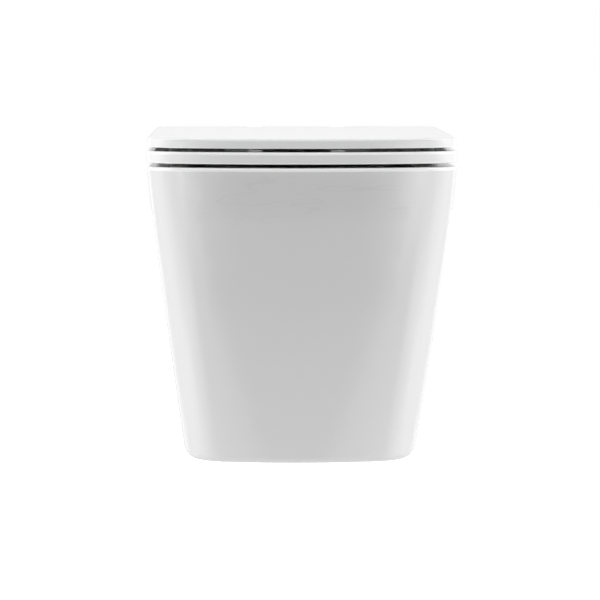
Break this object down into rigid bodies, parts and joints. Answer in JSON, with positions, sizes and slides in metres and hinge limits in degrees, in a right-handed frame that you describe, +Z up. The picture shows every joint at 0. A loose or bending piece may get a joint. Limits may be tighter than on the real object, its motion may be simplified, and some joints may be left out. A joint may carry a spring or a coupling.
{
  "type": "wall hung toilet",
  "caption": "Wall hung toilet pan with a squarish tapered body, slim hinged seat and slim hinged lid, fixed to two wall studs.",
  "frame": {"origin": "midway between the two wall studs, on the face of the wall", "axes": "+X to the right seen from the front, +Y into the wall, +Z up"},
  "size_m": [0.3624, 0.5199, 0.3945],
  "materials": {
    "glaze": "glossy white glaze",
    "white_plastic": "polished white thermoset",
    "pad": "matt off-white pad",
    "chrome": "polished",
    "steel": "brushed",
    "rubber": "matt",
    "grey_plastic": "matt moulded"
  },
  "bodies": {
    "pan": {"pan": "glaze", "flush_deflector": "white_plastic", "side_cap_left": "white_plastic", "side_cap_right": "white_plastic", "hinge_body_left": "chrome", "hinge_body_right": "chrome", "hinge_base_left": "chrome", "hinge_base_right": "chrome", "hinge_bolt_left": "steel", "hinge_bolt_right": "steel", "grub_screw_left": "steel", "grub_screw_right": "steel", "plug_nut_left": "steel", "plug_nut_right": "steel", "fixing_screw_left": "steel", "fixing_screw_right": "steel", "expansion_plug_left": "rubber", "expansion_plug_right": "rubber", "inlet_seal": "rubber", "fixing_block_left": "grey_plastic", "fixing_block_right": "grey_plastic", "fixing_washer_left": "grey_plastic", "fixing_washer_right": "grey_plastic", "seat_damper": "grey_plastic", "lid_damper": "grey_plastic"},
    "seat": {"seat_ring": "white_plastic", "seat_buffer_front_left": "pad", "seat_buffer_front_right": "pad", "seat_buffer_rear_left": "pad", "seat_buffer_rear_right": "pad", "seat_pin": "steel", "seat_damper_shaft": "steel"},
    "lid": {"lid": "white_plastic", "lid_buffer_front_left": "pad", "lid_buffer_front_right": "pad", "lid_buffer_rear_left": "pad", "lid_buffer_rear_right": "pad", "lid_pin": "steel", "lid_damper_shaft": "steel"}
  },
  "joints": [
    {"name": "seat_hinge", "type": "hinge", "parent": "pan", "child": "seat", "pos_m": [0, -0.078, 0.1045], "axis": [-1, 0, 0], "range_deg": [0, 95]},
    {"name": "lid_hinge", "type": "hinge", "parent": "seat", "child": "lid", "pos_m": [0, -0.078, 0.1045], "axis": [-1, 0, 0], "range_deg": [0, 95]}
  ]
}
